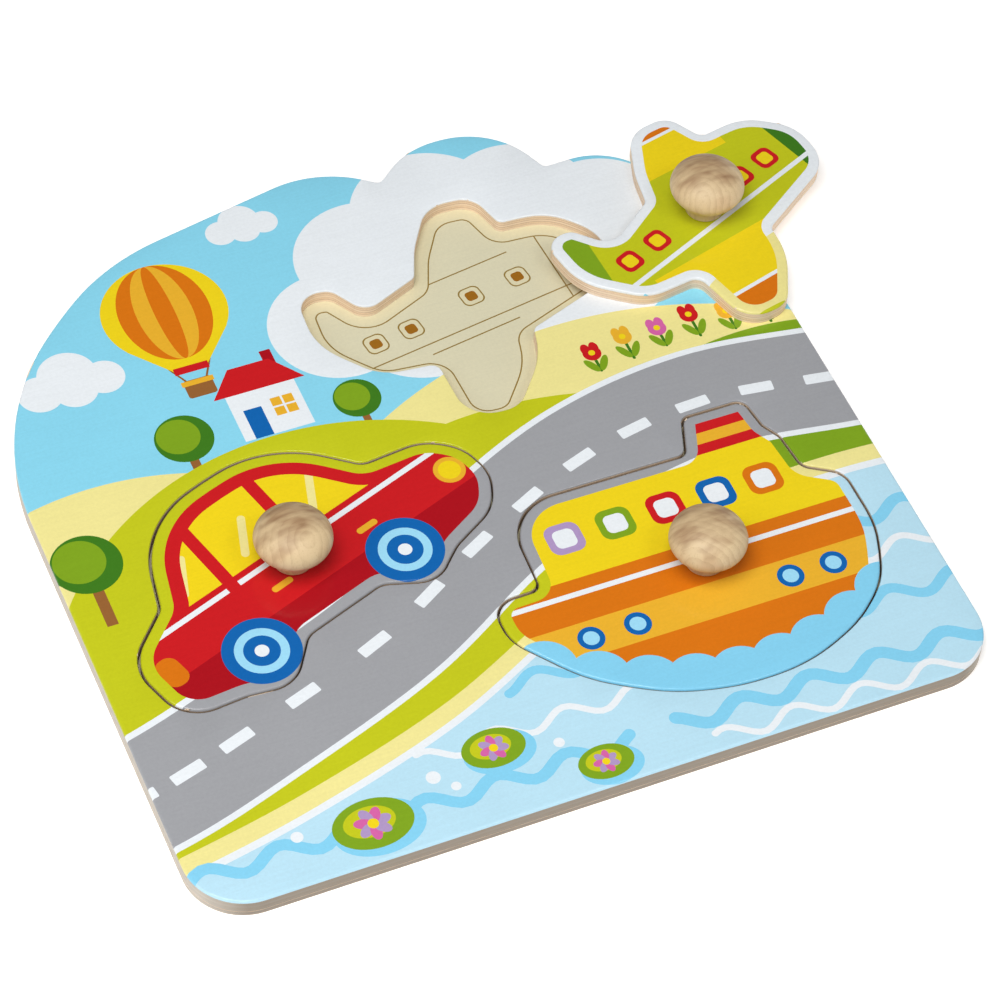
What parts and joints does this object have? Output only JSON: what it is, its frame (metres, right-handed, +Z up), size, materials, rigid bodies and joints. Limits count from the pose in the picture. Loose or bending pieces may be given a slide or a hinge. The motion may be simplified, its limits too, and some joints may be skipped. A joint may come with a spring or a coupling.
{
  "type": "wooden knob puzzle",
  "caption": "Printed plywood tray puzzle with lobed top edge and plane, car and boat pieces that lift from matching recesses by round wooden knobs.",
  "frame": {"origin": "middle of the tray's flat underside, half way across its width and half way along its depth", "axes": "+X to the right along the straight front edge, +Y from the straight front edge towards the lobed back edge, +Z up through the knobs"},
  "size_m": [0.3425, 0.302, 0.0358],
  "materials": {
    "ply": "sanded plywood with clear lacquer",
    "backing": "thin plywood, plain",
    "lining_print": "cream print with thin brown lines, satin",
    "board_print": "colour print under satin lacquer",
    "plane_print": "colour print under satin lacquer",
    "car_print": "colour print under satin lacquer",
    "boat_print": "colour print under satin lacquer",
    "knob_wood": "turned beech, fine sanded",
    "screw_steel": "zinc plated"
  },
  "bodies": {
    "tray": {"back_board": "backing", "lining": "lining_print", "front_board": "ply", "board_facing": "board_print"},
    "plane": {"plane_plate": "ply", "plane_facing": "plane_print", "plane_knob": "knob_wood", "plane_screw": "screw_steel"},
    "car": {"car_plate": "ply", "car_facing": "car_print", "car_knob": "knob_wood", "car_screw": "screw_steel"},
    "boat": {"boat_plate": "ply", "boat_facing": "boat_print", "boat_knob": "knob_wood", "boat_screw": "screw_steel"}
  },
  "joints": [
    {"name": "plane_lift", "type": "slide", "parent": "tray", "child": "plane", "axis": [0, 0, 1], "range_m": [0, 0.06]},
    {"name": "car_lift", "type": "slide", "parent": "tray", "child": "car", "axis": [0, 0, 1], "range_m": [0, 0.06]},
    {"name": "boat_lift", "type": "slide", "parent": "tray", "child": "boat", "axis": [0, 0, 1], "range_m": [0, 0.06]}
  ]
}
